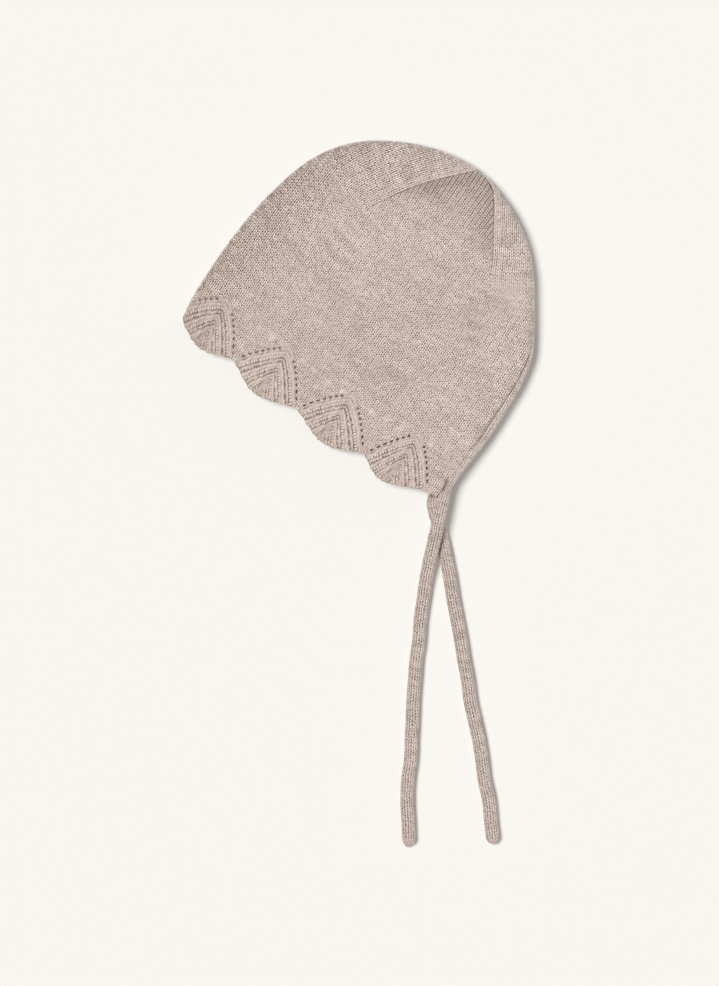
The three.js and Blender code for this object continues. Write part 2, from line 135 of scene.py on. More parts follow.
# The gores: a wale is one stitch across, a course one stitch up. The two seams bound the side gore's upper
# part and run to the fold on both sides of the apex.
SIDE_WIDTH, SIDE_WALES = 80.6, 35
WALE = SIDE_WIDTH / SIDE_WALES
COURSE = 1.495
FIRST_COURSE, COURSES, PAST_APEX = -6, 106, 2
TOP_SEAM = np.array([(50.4, 104.5), (54.3, 113.4), (67, 133.9), (84.8, 154.5), (87.3, 157.7)])
BACK_SEAM = np.array([
    (131, 108.5), (127.2, 114), (123, 121.9), (114.3, 135.8), (102.6, 152.9), (94.8, 157.6),
])
SAG, SAG_MIDDLE, SAG_REACH, SAG_COURSES = 3.5, 87, 40, 25
TOP_STRETCH, BACK_STRETCH = 0.00363, 0.00155
APEX, APEX_FROM, APEX_SPREAD = 91, 70, 0.1

# The face edge: the middles of the lace leaves, the valleys between them with their teeth of plain knit, and
# the heights of the leaves.
LEAF_AXES = np.array([17.8, 60.3, 103.1, 145.5])
VALLEYS = np.array([-4, 37.7, 81.4, 125.6, 166.4])
TOOTH = 1.3
LEAF_LEFT = LEAF_AXES - VALLEYS[:-1] - TOOTH
LEAF_RIGHT = VALLEYS[1:] - LEAF_AXES - TOOTH
LEAF_TOPS = np.array([20.2, 21.4, 20.6, 22.2])
LEAF_BULGE, SHOULDER, VALLEY = 2.7, -1, -4.5
EDGE_AT_FOLD, EDGE_ROUNDS = 9, 6
BOW_LOW, BOW_RISE, BOW_MIDDLE, BOW_REACH = -1.9, 4.6, 100, 80


def smooth(x):
    """An even step from 0 to 1 that starts and ends level."""
    x = np.clip(x, 0, 1)
    return x * x * (3 - 2 * x)


def spline(points, per_span):
    """A Catmull-Rom curve through the points, per_span steps to a span, as if its ends ran on straight."""
    p = np.vstack([2 * points[0] - points[1], points, 2 * points[-1] - points[-2]])
    t = np.arange(per_span)[None, :, None] / per_span
    a, b, c, d = (p[i:len(p) - 3 + i, None] for i in range(4))
    spans = b + 0.5 * ((c - a) * t + (2 * a - 5 * b + 4 * c - d) * t**2 + (3 * b - a - 3 * c + d) * t**3)
    return np.vstack([spans.reshape(-1, points.shape[1]), points[-1:]])


RIM = spline(OUTLINE, PER_SPAN)
RIM_DRAWN = np.vstack([2 * RIM[0] - RIM[2 * PER_SPAN], RIM, RIM[-1] - (0, NECK_DRAWN)])
TOP_FOLD = RIM[(RIM[:, 0] > TOP_SEAM[-1, 0]) & (RIM[:, 0] < BACK_SEAM[-1, 0])]
TOP_LINE = np.vstack([TOP_SEAM, TOP_FOLD, BACK_SEAM[::-1]])


def nearest_rim(place):
    """Distance of places in plan from the outline, the outline's nearest span, and the way inwards there.

    Each place is set against every straight step of the outline, a chunk of places at a time.
    """
    start, step = RIM_DRAWN[:-1], np.diff(RIM_DRAWN, axis=0)
    square = (step**2).sum(-1)
    flat = place.reshape(-1, 2)
    away, span, inwards = np.empty(len(flat)), np.empty(len(flat)), np.empty((len(flat), 2))
    for part in np.array_split(np.arange(len(flat)), len(flat) // RIM_CHUNK + 1):
        gap = flat[part, None] - start
        along = np.clip((gap * step).sum(-1) / square, 0, 1)
        gap -= along[..., None] * step
        nearest = (gap**2).sum(-1).argmin(1)
        each = np.arange(len(part))
        gap, along = gap[each, nearest], along[each, nearest]
        away[part] = np.linalg.norm(gap, axis=1)
        span[part] = np.clip((nearest - 1 + along) / PER_SPAN, 0, len(OUTLINE) - 1)
        edge = np.stack([step[nearest, 1], -step[nearest, 0]], -1) / np.sqrt(square[nearest])[:, None]
        off_rim = away[part, None] > ON_RIM
        inwards[part] = np.where(off_rim, gap / np.maximum(away[part, None], ON_RIM), edge)
    return away.reshape(place.shape[:-1]), span.reshape(place.shape[:-1]), inwards.reshape(place.shape)


def opened(span):
    """0 where the rim is a fold, 1 where it is the open neck edge."""
    return smooth(span - NAPE)


def tucked(s, d):
    """Where places of the far half lie: in from the chin corner and back from the face edge, fading out."""
    chin = smooth((s - TUCK_FROM) / (OUTLINE[-1, 0] - TUCK_FROM))
    tuck = FAR_TUCK * chin * np.clip(1 - d / OUTLINE[NAPE, 1], 0, 1)
    back = FAR_BACK * np.clip(s / SLANT_REACH, 0, 1) * np.clip(1 - d / BACK_REACH, 0, 1)
    return s - tuck, d + back


def knit_surface(side, s, d):
    """The outside of the knit over places in plan, the way outwards, and two measures of its rim, 0 to 1.

    The rim is a quarter round from the fold to the flat of each half. The near half also rises in a dome
    that is level at the face edge and in the middle; the far half lies on the floor, its chin corner tucked
    in. One measure is the ditch beside the sewn neck edge, the other how near a fold at the upper left is;
    both say where painted shade goes, and the second also where the knit of the gores is more open.
    """
    away, span, inwards = nearest_rim(np.stack([s, d], -1))
    open_edge = opened(span)
    turn = 1 - np.clip(away / FOLD_RADIUS, 0, 1)
    rise = np.sqrt(1 - turn**2)
    if side == FAR:
        z = FOLD_RADIUS * (1 - open_edge) * (1 - rise)
        aside, down = (1 - open_edge) * turn, np.maximum(rise, open_edge)
        out = np.concatenate([-inwards * aside[..., None], -down[..., None]], -1)
        s, d = tucked(s, d)
    else:
        in_dome = np.clip(away / DOME_REACH, 0, 1)
        from_face = np.clip(d / DOME_START, 0, 1)
        drooped = np.clip((DROOP_START - d) / (DROOP_START - LEAF_TIP), 0, None)
        dome = DOME_RISE * in_dome * (2 - in_dome)
        lift = dome * smooth(from_face) - TIP_DROOP * drooped**2
        step = 2 * FOLD_RADIUS - (FOLD_RADIUS + (NECK_RIM - FOLD_RADIUS) * open_edge)
        z = 2 * FOLD_RADIUS + step * (rise - 1) + lift * rise
        steep = (step + lift) * turn / FOLD_RADIUS
        steep += DOME_RISE * 2 * (1 - in_dome) / DOME_REACH * smooth(from_face) * rise**2
        tilt = dome * 6 * from_face * (1 - from_face) / DOME_START
        tilt += TIP_DROOP * 2 * drooped / (DROOP_START - LEAF_TIP)
        out = np.concatenate([-inwards * steep[..., None], rise[..., None]], -1)
        out[..., 1] -= tilt * rise**2
    out /= np.maximum(np.linalg.norm(out, axis=-1, keepdims=True), TINY)
    upper_left = np.clip(inwards @ np.array(RIM_TURN[:2]), 0, 1) * (1 - open_edge)
    ditch, fold = open_edge * np.exp(-(away / DITCH)**2), upper_left * np.exp(-(away / RIM_REACH)**2)
    return np.stack([s, d, z], -1), out, ditch, fold


def bow(along):
    """How far the face edge is drawn back at a place along it, by a parabola."""
    return BOW_LOW + BOW_RISE * ((along - BOW_MIDDLE) / BOW_REACH)**2


def fold_place(d):
    """Place of the forehead fold near the face edge, on the straight line of the outline's first span."""
    slope = (OUTLINE[1, 0] - OUTLINE[0, 0]) / (OUTLINE[1, 1] - OUTLINE[0, 1])
    return OUTLINE[0, 0] + slope * (d - OUTLINE[0, 1])


def along_edge(s, d):
    """Distance in the knit from the forehead fold, the quarter round of the fold unrolled."""
    fold = fold_place(d)
    beyond = s - FOLD_RADIUS - fold * np.clip(1 - (s - FOLD_RADIUS) / SLANT_REACH, 0, 1)
    turned = np.arccos(1 - np.clip((s - fold) / FOLD_RADIUS, 0, 1)) / (np.pi / 2) * QUARTER
    return np.where(beyond > 0, QUARTER + beyond, turned)


def leaf_top(leaf, part):
    """The top of a lace leaf from its peak down to its shoulders, a bit rounder than two straight lines."""
    return LEAF_TOPS[leaf] + (SHOULDER - LEAF_TOPS[leaf]) * part + LEAF_BULGE * 4 * part * (1 - part)


def face_edge(s):
    """Lowest plain knit in a column: along the tops of the lace leaves, and down to the edge between them.

    The forehead fold leans, so the place is found again from itself until it settles.
    """
    d = np.full_like(s, EDGE_AT_FOLD)
    for _ in range(EDGE_ROUNDS):
        along = along_edge(s, d)
        leaf = np.clip(np.searchsorted(VALLEYS, along) - 1, 0, len(LEAF_AXES) - 1)
        across = along - LEAF_AXES[leaf]
        half = np.where(across < 0, LEAF_LEFT[leaf], LEAF_RIGHT[leaf])
        part = np.abs(across) / half
        d = np.where(part < 1, leaf_top(leaf, part), VALLEY) + bow(along)
    return d


def course_line(s, course):
    """Distance from the face edge of a course on the flat of the side gore; it dips in the middle."""
    return COURSE * course + SAG * ((s - SAG_MIDDLE) / SAG_REACH)**2 * smooth(course / SAG_COURSES)


def line_runs(line):
    """Distance along a line of points from its first to each of them."""
    return np.concatenate([[0], np.cumsum(np.linalg.norm(np.diff(line, axis=0), axis=1))])


def line_length(line):
    """Whole length of a line of points, the sum of its straight steps."""
    return np.linalg.norm(np.diff(line, axis=0), axis=1).sum()


def on_line(line, length):
    """Places at the given lengths along a line of points, drawn on straight before its start."""
    run = line_runs(line)
    place = np.stack([np.interp(length, run, line[:, i]) for i in (0, 1)], -1)
    return place + (line[1] - line[0]) / run[1] * np.minimum(length, 0)[:, None]


def side_gore(per_wale, per_course):
    """Plan of the side gore: wales straight up from the face edge, courses across, cut off at both seams."""
    wales = np.arange(SIDE_WALES * per_wale + 1) / per_wale
    courses = FIRST_COURSE + np.arange((COURSES + PAST_APEX - FIRST_COURSE) * per_course + 1) / per_course
    u, v = np.meshgrid(wales, courses, indexing="ij")
    spread = 1 + APEX_SPREAD * smooth((v - APEX_FROM) / (COURSES - APEX_FROM))
    s = np.clip(APEX + (TOP_SEAM[0, 0] + u * WALE - APEX) * spread, TOP_SEAM[0, 0], BACK_SEAM[0, 0])
    d = np.maximum(course_line(s, v), face_edge(s))
    return s, np.minimum(d, np.interp(s, TOP_LINE[:, 0], TOP_LINE[:, 1])), u, v


def edge_gore(seam, rim, stretch, per_wale, per_course):
    """Plan of a gore between a seam and the rim: courses straight across, wales alongside the seam.

    Below the seam the gore starts at the seam's own wale. The last part of each course goes round the fold.
    """
    courses = FIRST_COURSE + np.arange((COURSES - FIRST_COURSE) * per_course + 1) / per_course
    line = course_line(seam[0, 0], courses)
    seam_starts = np.interp(seam[0, 1], line, courses)
    part = (courses - seam_starts) / (COURSES - seam_starts)
    seam_line = spline(seam, PER_SPAN)
    on_seam = on_line(seam_line, np.maximum(part, 0) * line_length(seam_line))
    inner = np.where(part[:, None] > 0, on_seam, np.stack([np.full_like(line, seam[0, 0]), line], -1))
    total = line_length(rim) + rim[0, 1]
    pace = total / COURSES - stretch * COURSES
    run = pace * courses + stretch * courses * np.abs(courses) - rim[0, 1]
    outer = on_line(rim, run)
    width = np.maximum(np.linalg.norm(outer - inner, axis=1), TINY)
    _, span, _ = nearest_rim(outer)
    radius = np.minimum(FOLD_RADIUS * (1 - opened(span)), width)
    flat = width - radius
    wales = np.arange(int(np.ceil((flat + radius * np.pi / 2).max() / WALE)) * per_wale + 1) / per_wale
    u, v = np.meshgrid(wales, courses, indexing="ij")
    turn = np.clip((u * WALE - flat) / np.maximum(radius, TINY), 0, np.pi / 2)
    reach = np.minimum(u * WALE, flat) + radius * np.sin(turn)
    place = inner + (outer - inner) * (reach / width)[..., None]
    s, d = place[..., 0], place[..., 1]
    return s, np.maximum(d, face_edge(s)), u, v


# The stitches. On the near half their middle height lies on the smooth surface; on the far half their tops
# do, so that none goes below the floor.
STITCH_RELIEF = 0.4
STITCH_CREST = {NEAR: 0.5, FAR: 1}
LEG_LEAN, LEG_FULL = 0.52, 0.65
PLAIN_HEIGHT, PLAIN_SHADE = 0.6, 0.56
# The backs of the sheets, the inside of the bonnet, are darkened by this painted shade.
BACK_PAINTED_SHADE = 0.5
SAME_DECIMALS = 4


def stitch(u, v, gap):
    """Height of plain knit, 0 in its gaps to 1 on its yarn, over wales u and courses v.

    A stitch is a V: on each side of the wale's middle a row of legs leans away from it, the legs one course
    apart, with a gap on each side of the row.
    """
    side = np.abs(u - np.floor(u) - 0.5)
    leg = np.abs(np.cos(np.pi * (v - side / LEG_LEAN)))
    return leg * (1 - gap * np.cos(2 * np.pi * u)**2)


def snapped(count, step):
    """Each index of a row moved to the nearest one that a coarser row keeps."""
    return np.minimum((np.arange(count) + step // 2) // step * step, count - 1)


def cells(rows, columns, keep):
    """Triangles of the kept cells of a grid of points that is numbered row by row."""
    index = np.arange(rows * columns).reshape(rows, columns)
    a, b, c, d = index[:-1, :-1][keep], index[1:, :-1][keep], index[1:, 1:][keep], index[:-1, 1:][keep]
    return np.concatenate([np.stack([a, b, c], -1), np.stack([a, c, d], -1)])


def slab(outer, inner, keep):
    """Points and triangles of a closed sheet between two grids of points, without the cells not kept.

    An edge that only one triangle of the outer side has is on the sheet's border, and gets a wall.
    """
    front = cells(*outer.shape[:2], keep)
    count = outer.shape[0] * outer.shape[1]
    edges = np.concatenate([front[:, [0, 1]], front[:, [1, 2]], front[:, [2, 0]]])
    code = edges[:, 0] * count + edges[:, 1]
    p, q = edges[~np.isin(code, edges[:, 1] * count + edges[:, 0])].T
    walls = np.concatenate([np.stack([q, p, p + count], -1), np.stack([q, p + count, q + count], -1)])
    points = np.concatenate([outer.reshape(-1, 3), inner.reshape(-1, 3)])
    return points, np.concatenate([front, front[:, ::-1] + count, walls]), len(walls)


def add_piece(name, points, faces, walls, stitches, shade, plain, material, slot, node):
    """A smooth mesh from points in millimetres, its last faces flat walls.

    Each point keeps its stitch counts, its shade, a painted shade from 0, as dark as a gap, to about 1, and
    how plain it is, from 0 for stitches to 1 for none and below 0 where they are more open. Points that
    coincide become one, so a coarser inner side, a closed tube and a closed end need nothing more.
    """
    rounded = np.round(points, SAME_DECIMALS)
    _, first, joined = np.unique(rounded, axis=0, return_index=True, return_inverse=True)
    points, stitches, shade, plain = points[first], stitches[first], shade[first], plain[first]
    round_face = np.arange(len(faces)) < len(faces) - walls
    faces = joined.reshape(-1)[faces]
    a, b, c = faces.T
    whole = (a != b) & (b != c) & (c != a)
    faces, round_face = faces[whole], round_face[whole]
    mesh = bpy.data.meshes.new(name)
    mesh.vertices.add(len(points))
    mesh.vertices.foreach_set("co", ((points - (*HEAD_CENTRE, 0)) * MM).astype(np.float32).ravel())
    mesh.loops.add(faces.size)
    mesh.loops.foreach_set("vertex_index", faces.astype(np.int32).ravel())
    mesh.polygons.add(len(faces))
    mesh.polygons.foreach_set("loop_start", np.arange(0, faces.size, 3, dtype=np.int32))
    mesh.polygons.foreach_set("use_smooth", round_face)
    mesh.update(calc_edges=True)
    at_corners = stitches[faces.ravel()].astype(np.float32).ravel()
    mesh.uv_layers.new(name="stitches").data.foreach_set("uv", at_corners)
    for layer, values in (("shade", shade), ("plain", plain)):
        mesh.attributes.new(layer, "FLOAT", "POINT").data.foreach_set("value", values.astype(np.float32))
    mesh.materials.append(material)
    piece = bpy.data.objects.new(name, mesh)
    scene.collection.objects.link(piece)
    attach(piece, "root")
    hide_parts(node)
    return piece


def add_sheet(name, outer, inner, keep, stitches, shade, plain, turned, *looks):
    """A closed sheet of knit, its grids turned over where their own order faces inwards, its back plain."""
    grids = (outer, inner, keep, stitches, shade, plain)
    if turned:
        grids = (grid[:, ::-1] for grid in grids)
    outer, inner, keep, stitches, shade, plain = grids
    points, faces, walls = slab(outer, inner, keep)
    stitches = np.concatenate([stitches.reshape(-1, 2)] * 2)
    # The back is darkened with painted shade.
    shade = np.concatenate([shade.ravel(), np.full(shade.size, BACK_PAINTED_SHADE)])
    plain = np.concatenate([plain.ravel(), np.ones(plain.size)])
    return add_piece(name, points, faces, walls, stitches, shade, plain, *looks)


# The wool: how far its stitches wander, how fine its streaks, bands, clouds and fibres are, and their shares
# in the colour.
WANDER_WAVES, WANDER_WALES, WANDER_COURSES = (0.7, 0.5, 0), 0.35, 0.9
STREAK_WAVES, BAND_WAVES = (0.16, 0.75, 0), (0.06, 0.3, 0)
CLOUD_WAVES, FIBRE_WAVES = (110, 110, 110), (1500, 1500, 1500)
LEG_TONE, STREAK_TONE, BAND_TONE, CLOUD_TONE, TONE_LEVEL = 0.35, 0.9, 1.4, 0.7, 1.19
FIBRE_BUMP, FIBRE_HEIGHT = 0.35, 0.0004
WOOL_ROUGHNESS, WOOL_SPECULAR = 0.95, 0.15
WOOL_SHEEN, SHEEN_ROUGHNESS = 0.5, 0.5
KNIT_PALE, KNIT_DARK = (0.94, 0.812, 0.742, 1), (0.66, 0.547, 0.495, 1)
# The colour that painted shade darkens the knit towards: its gaps, backs and shaded marks.
KNIT_SHADE_COLOUR = (0.12, 0.078, 0.055, 1)
KNIT_GAP, KNIT_LEAST, KNIT_MOST = 0.86, 0.8, 1.2


class Wire:
    """A value in a material's nodes. It adds and multiplies like a number; node() makes any other node."""

    def __init__(self, tree, socket=None):
        self.tree = tree
        self.socket = socket

    def node(self, kind, settings, inputs, output=0):
        made = self.tree.nodes.new(kind)
        for name, value in settings.items():
            setattr(made, name, value)
        for name, value in inputs.items():
            if isinstance(value, Wire):
                self.tree.links.new(value.socket, made.inputs[name])
            else:
                made.inputs[name].default_value = value
        return Wire(self.tree, made.outputs[output])

    def _math(self, operation, first, second):
        return self.node("ShaderNodeMath", {"operation": operation}, {0: first, 1: second})

    def __add__(self, other):
        return self._math("ADD", self, other)

    def __radd__(self, other):
        return self._math("ADD", other, self)

    def __sub__(self, other):
        return self._math("SUBTRACT", self, other)

    def __rsub__(self, other):
        return self._math("SUBTRACT", other, self)

    def __mul__(self, other):
        return self._math("MULTIPLY", self, other)

    def __rmul__(self, other):
        return self._math("MULTIPLY", other, self)

    def __pow__(self, other):
        return self._math("POWER", self, other)

    def __rpow__(self, other):
        return self._math("POWER", other, self)


def wool(name, pale, dark, hole, gap, least, most):
    """Melange wool in stitches: the V legs of stitch(), each leg a shade of its own, in streaks and clouds.

    Its gaps are between least and most deep, and a full gap is 1. Their darkness is painted shade, towards
    the hole colour, as is all that the shade attribute darkens.
    """
    material = bpy.data.materials.new(name)
    material.use_nodes = True
    tree = material.node_tree
    shader = tree.nodes["Principled BSDF"]
    start = Wire(tree)

    def work(operation, value):
        """A function of one value."""
        return start.node("ShaderNodeMath", {"operation": operation}, {0: value})

    def noise(vector, waves, detail, output=0):
        """Smooth noise with so many waves to a unit of each axis."""
        scaled = start.node("ShaderNodeVectorMath", {"operation": "MULTIPLY"}, {0: vector, 1: waves})
        inputs = {"Vector": scaled, "Scale": 1.0, "Detail": detail}
        return start.node("ShaderNodeTexNoise", {}, inputs, output)

    def split(vector, axis):
        """One number of a vector."""
        return start.node("ShaderNodeSeparateXYZ", {}, {0: vector}, axis)

    def chance(across, along):
        """A random number for each whole step across and along."""
        step = start.node("ShaderNodeCombineXYZ", {}, {0: work("FLOOR", across), 1: work("FLOOR", along)})
        return start.node("ShaderNodeTexWhiteNoise", {"noise_dimensions": "2D"}, {"Vector": step})

    def blend(part, low, high):
        """The colour at a part of the way from low to high; 6, 7 and 2 are the Mix node's colour sockets."""
        return start.node("ShaderNodeMix", {"data_type": "RGBA"}, {0: part, 6: low, 7: high}, 2)

    stitches = start.node("ShaderNodeUVMap", {"uv_map": "stitches"}, {})
    shade = start.node("ShaderNodeAttribute", {"attribute_name": "shade"}, {}, "Fac")
    plain = start.node("ShaderNodeAttribute", {"attribute_name": "plain"}, {}, "Fac")
    place = start.node("ShaderNodeTexCoord", {}, {}, "Object")
    wander = noise(stitches, WANDER_WAVES, detail=1.0, output=1)
    u = split(stitches, 0) + WANDER_WALES * (split(wander, 0) - 0.5)
    v = split(stitches, 1) + WANDER_COURSES * (split(wander, 1) - 0.5)
    row = v - work("ABSOLUTE", work("FRACT", u) - 0.5) * (1 / LEG_LEAN)
    beside = work("COSINE", u * (2 * np.pi))
    height = work("ABSOLUTE", work("COSINE", row * np.pi)) * (1 - gap * beside * beside)
    hollow = 1 - height**LEG_FULL
    own = chance(2 * u, row + 0.5)
    depth = least + (most - least) * chance(2 * u + 0.5, row)
    streaks = noise(stitches, STREAK_WAVES, detail=2.0)
    bands = noise(stitches, BAND_WAVES, detail=2.0)
    clouds = noise(place, CLOUD_WAVES, detail=4.0)
    tone = LEG_TONE * own + STREAK_TONE * streaks + BAND_TONE * bands + CLOUD_TONE * clouds - TONE_LEVEL
    # Painted shade: the gaps between the legs and the shade attribute darken the colour towards hole.
    seen = (1 - hollow * depth) * (1 - plain) + PLAIN_SHADE * plain
    shown = blend(seen * shade, hole, blend(tone, dark, pale))
    tree.links.new(shown.socket, shader.inputs["Base Color"])
    fibres = noise(place, FIBRE_WAVES, detail=2.0)
    raised = {"Height": fibres, "Strength": FIBRE_BUMP, "Distance": FIBRE_HEIGHT}
    tree.links.new(start.node("ShaderNodeBump", {}, raised).socket, shader.inputs["Normal"])
    shader.inputs["Roughness"].default_value = WOOL_ROUGHNESS
    shader.inputs["Specular IOR Level"].default_value = WOOL_SPECULAR
    shader.inputs["Sheen Weight"].default_value = WOOL_SHEEN
    shader.inputs["Sheen Roughness"].default_value = SHEEN_ROUGHNESS
    return material


KNIT = wool("knit_wool", KNIT_PALE, KNIT_DARK, KNIT_SHADE_COLOUR, KNIT_GAP, KNIT_LEAST, KNIT_MOST)

# What shows on the gores: painted shade towards the folds at the upper left and beside the neck edge, a
# brushed spot and a spot of painted shade at the back, the row of small tucks over the lace, the two raised
# wales beside a seam, the sunk wale lines under the apex with painted shade in and around them, and painted
# shade in the gaps at the chin where crown and cord part.
NEAR_STEPS, FAR_STEPS = (6, 4), (4, 2)
KNIT_OPEN, RIM_OPEN = 0.08, 0.5
RIM_PAINTED_SHADE, DITCH_PAINTED_SHADE = 0.16, 0.1
BRUSHED, BRUSHED_SIZE, BRUSHED_PLAIN = (141, 113), 7, 0.6
DIMPLE, DIMPLE_SIZE, DIMPLE_PAINTED_SHADE = (135.8, 91.7), 10, 0.15
TUCKS = ((20, 21.8), (30, 20.5), (38.3, 19.2), (47.5, 18.5), (68.5, 18), (77, 16.5), (86, 16.5),
         (95.5, 16.3), (115, 16.5), (124.5, 17.5), (133, 17.5), (152, 20), (161, 22))
TUCK_SIZE, TUCK_RISE, TUCK_PLAIN, TUCK_SHADE = 1.6, 0.25, 0.55, 0.3
RIDGE_WALES, RIDGE_WIDTH = ((0.5, 1), (1.5, 0.7)), 0.3
RIDGE_RISE, RIDGE_PLAIN, RIDGE_FROM, RIDGE_OVER = 0.2, 0.6, 68, 30
STRIPE_REACH, STRIPES_FROM, STRIPES_OVER = 22, 114, 24
STRIPE_POWER, STRIPE_SINK, STRIPE_PAINTED_SHADE, UNDER_APEX_PAINTED_SHADE = 3, 0.4, 0.9, 0.2
SEAM_LEVEL, SEAM_REACH = 0.2, 0.8
SEAM_SHADE, SEAM_WIDTH, SEAM_FROM, SEAM_OVER = 0.2, 0.7, 104, 12
CHIN_GAPS = (((170.3, 8.6), (171.9, 3.1), 0.75), ((168.3, -3.1), (168.9, -3.1), 1.1))
CHIN_PAINTED_SHADE = 0.85


def spot(s, d, middle, size):
    """A soft round spot, 1 in its middle, that falls off as a bell curve."""
    return np.exp(-((s - middle[0])**2 + (d - middle[1])**2) / size**2)


def chin_painted_shade(s, d):
    """Painted shade at the chin, 1 on the middle lines of two gaps, falling off as a bell curve."""
    dark = np.zeros_like(s)
    for start, end, size in CHIN_GAPS:
        way = np.subtract(end, start)
        part = np.clip(((s - start[0]) * way[0] + (d - start[1]) * way[1]) / (way @ way), 0, 1)
        square = (s - start[0] - part * way[0])**2 + (d - start[1] - part * way[1])**2
        dark = np.maximum(dark, np.exp(-square / size**2))
    return dark


def cloth_area(grid):
    """Area in square metres of a grid of points, each cell half the product of its crossed diagonals."""
    one, other = grid[1:, 1:] - grid[:-1, :-1], grid[1:, :-1] - grid[:-1, 1:]
    return np.linalg.norm(np.cross(one, other), axis=-1).sum() / 2 * MM**2


def add_gore(name, side, plan, turned, steps, beside_seam):
    """One gore of the crown, its stitches raised over the smooth surface and its back a coarser plain one.

    A gore beside a seam has the raised wales along it, and the side gore has the sunk wale lines.
    """
    s, d, u, v = plan
    base, out, ditch, fold = knit_surface(side, s, d)
    tucks = sum(spot(s, d, middle, TUCK_SIZE) for middle in TUCKS)
    plain = np.clip(spot(s, d, BRUSHED, BRUSHED_SIZE) * BRUSHED_PLAIN + TUCK_PLAIN * tucks, 0, 1)
    plain = plain - (KNIT_OPEN + RIM_OPEN * fold) * (side == NEAR)
    if beside_seam:
        from_seam = u * WALE
        lines = sum(weight * np.exp(-((u - wale) / RIDGE_WIDTH)**2) for wale, weight in RIDGE_WALES)
        lines = lines * smooth((v - RIDGE_FROM) / RIDGE_OVER)
        plain = plain + RIDGE_PLAIN * np.minimum(lines, 1) * (1 - np.clip(plain, 0, 1))
        raised = RIDGE_RISE * lines
        shade = np.ones_like(u)
    else:
        below = np.interp(s, TOP_LINE[:, 0], TOP_LINE[:, 1]) - d
        from_seam = np.minimum(below, np.minimum(u, SIDE_WALES - u) * WALE)
        under_apex = np.exp(-(below / STRIPE_REACH)**2) * smooth((d - STRIPES_FROM) / STRIPES_OVER)
        stripes = (2 * np.abs(u - np.floor(u) - 0.5))**STRIPE_POWER * under_apex
        under_seam = np.exp(-(below / SEAM_WIDTH)**2) * smooth((d - SEAM_FROM) / SEAM_OVER)
        raised = -STRIPE_SINK * stripes
        # Painted shade in the sunk wale lines and over the area under the apex.
        shade = (1 - STRIPE_PAINTED_SHADE * stripes) * (1 - SEAM_SHADE * under_seam)
        shade = shade * (1 - UNDER_APEX_PAINTED_SHADE * under_apex)
    # Painted shade beside the neck edge, towards the upper left folds, at the chin and on a spot at the
    # back.
    shade = shade * (1 - DITCH_PAINTED_SHADE * ditch - RIM_PAINTED_SHADE * fold)
    shade = shade * (1 - CHIN_PAINTED_SHADE * chin_painted_shade(s, d)) * (1 + TUCK_SHADE * tucks)
    shade = shade * (1 - DIMPLE_PAINTED_SHADE * spot(s, d, DIMPLE, DIMPLE_SIZE))
    height = stitch(u, v, KNIT_GAP) * (1 - plain) + PLAIN_HEIGHT * plain
    height = SEAM_LEVEL + (height - SEAM_LEVEL) * smooth(from_seam / SEAM_REACH)
    raised = raised * (side == NEAR) + STITCH_RELIEF * (height - STITCH_CREST[side])
    outer = base + out * (raised + TUCK_RISE * tucks * (side == NEAR))[..., None]
    inner = (base - out * WALL)[np.ix_(snapped(len(s), steps[0]), snapped(s.shape[1], steps[1]))]
    keep = np.ones((s.shape[0] - 1, s.shape[1] - 1), bool)
    stitches = np.stack([u, v], -1)
    turned = turned != (side == FAR)
    piece = add_sheet(name, outer, inner, keep, stitches, shade, plain, turned, KNIT, "knit", "crown")
    width = u.max() * WALE * MM
    cloth_area(base)


top_rim = RIM[:1 + np.argmax(RIM[:, 0] > TOP_SEAM[-1, 0])]
back_rim = RIM[np.argmax(RIM[:, 0] > BACK_SEAM[-1, 0]) - 1:][::-1]
for side, half, steps in ((NEAR, "near", NEAR_STEPS), (FAR, "far", FAR_STEPS)):
    top_plan = edge_gore(TOP_SEAM, top_rim, TOP_STRETCH, *steps)
    back_plan = edge_gore(BACK_SEAM, back_rim, BACK_STRETCH, *steps)
    add_gore(f"crown_{half}_side", side, side_gore(*steps), False, steps, False)
    add_gore(f"crown_{half}_top", side, top_plan, True, steps, True)
    add_gore(f"crown_{half}_back", side, back_plan, False, steps, True)

# Lace leaves along the face edge.
# Four scallops a side in the same wool, one cloth with the crown: knit ribs that meet in a chevron, purl
# grooves between them, a line of eyelets down each side, and a thin curved edge.
NEAR_CELLS, FAR_CELLS = (70, 96), (32, 48)
# The colour that painted shade darkens the lace towards.
LACE_SHADE_COLOUR = (0.12, 0.073, 0.047, 1)
LACE_GAP, LACE_LEAST, LACE_MOST = 0.62, 0.95, 1.85
LACE_SHADE = 1.05
LACE_COURSE = 1.5
TIP_SHIFTS = (0, -0.1, 0.05, -0.2)
EDGE_WAVE, EDGE_BUMP, EDGE_BUMP_FADE = 0.5, 0.3, 0.2
EDGE_WALL, EDGE_ROUND, EDGE_SINK = 0.7, 1.5, 0.3
BAND, BAND_FADE = 2.6, 1.2
RIB_FIRST, RIB_STEP, RIB_SPREAD, RIB_SPREAD_OVER = 4.9, 6.8, 0.7, 0.6
RIB_FAN_LEFT, RIB_FAN_RIGHT = 0.8, 0.35
RIB_RELIEF = 0.7
RIB_WIDTH, RIB_PLAIN, RIB_WALES = 0.17, 0.65, 1.5
RIB_APART, HALF_APART = 7, 29
EYELETS, EYELET_INSET = 7, 1.15
EYELET_FIRST_LEFT, EYELET_FIRST_RIGHT = 7, 8.8
EYELET_STEP_LEFT, EYELET_STEP_RIGHT = 3.4, 3.1
EYELET_LONG, EYELET_WIDE = 0.98, 0.57

LACE = wool("lace_wool", KNIT_PALE, KNIT_DARK, LACE_SHADE_COLOUR, LACE_GAP, LACE_LEAST, LACE_MOST)


